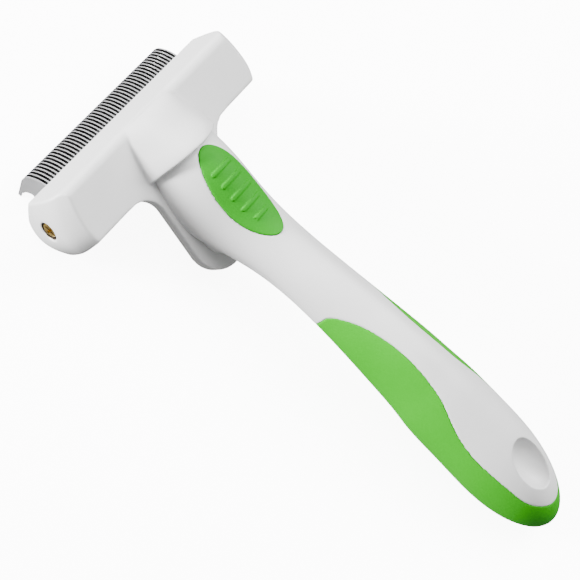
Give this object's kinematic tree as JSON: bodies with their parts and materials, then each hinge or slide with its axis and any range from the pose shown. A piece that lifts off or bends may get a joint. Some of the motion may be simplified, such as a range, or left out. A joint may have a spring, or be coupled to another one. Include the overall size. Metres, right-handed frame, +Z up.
{
  "type": "deshedding tool",
  "caption": "Pet deshedding tool: a wide white head with a toothed steel blade, on a curved white handle with a green rubber grip and thumb pad.",
  "frame": {"origin": "middle of the footprint at table height, with the tool resting on its teeth and on the belly of its grip", "axes": "+X forwards along the handle to the blade, +Y across the blade, +Z up from the table; the tool is mirror-symmetric about the XZ plane"},
  "size_m": [0.1946, 0.0904, 0.0397],
  "materials": {
    "white_abs": "satin white moulded plastic",
    "grip_green": "satin soft-touch green rubber",
    "pad_green": "satin soft-touch green rubber, a shade deeper than the grip",
    "blade_steel": "ground and polished stainless steel",
    "brass": "bright turned brass",
    "zinc_steel": "bright zinc-plated steel",
    "carrier_abs": "plain moulded plastic"
  },
  "bodies": {
    "root": {"head_housing": "white_abs", "head_base_cover": "white_abs", "blade": "blade_steel", "blade_carrier": "carrier_abs", "blade_screws": "zinc_steel", "end_screws": "brass", "end_inserts": "brass", "cover_screws": "zinc_steel", "neck_screws": "zinc_steel", "handle_body": "white_abs", "handle_lower_shell": "carrier_abs", "shell_screws": "zinc_steel", "grip_sleeve": "grip_green", "thumb_pad": "pad_green"}
  },
  "joints": []
}
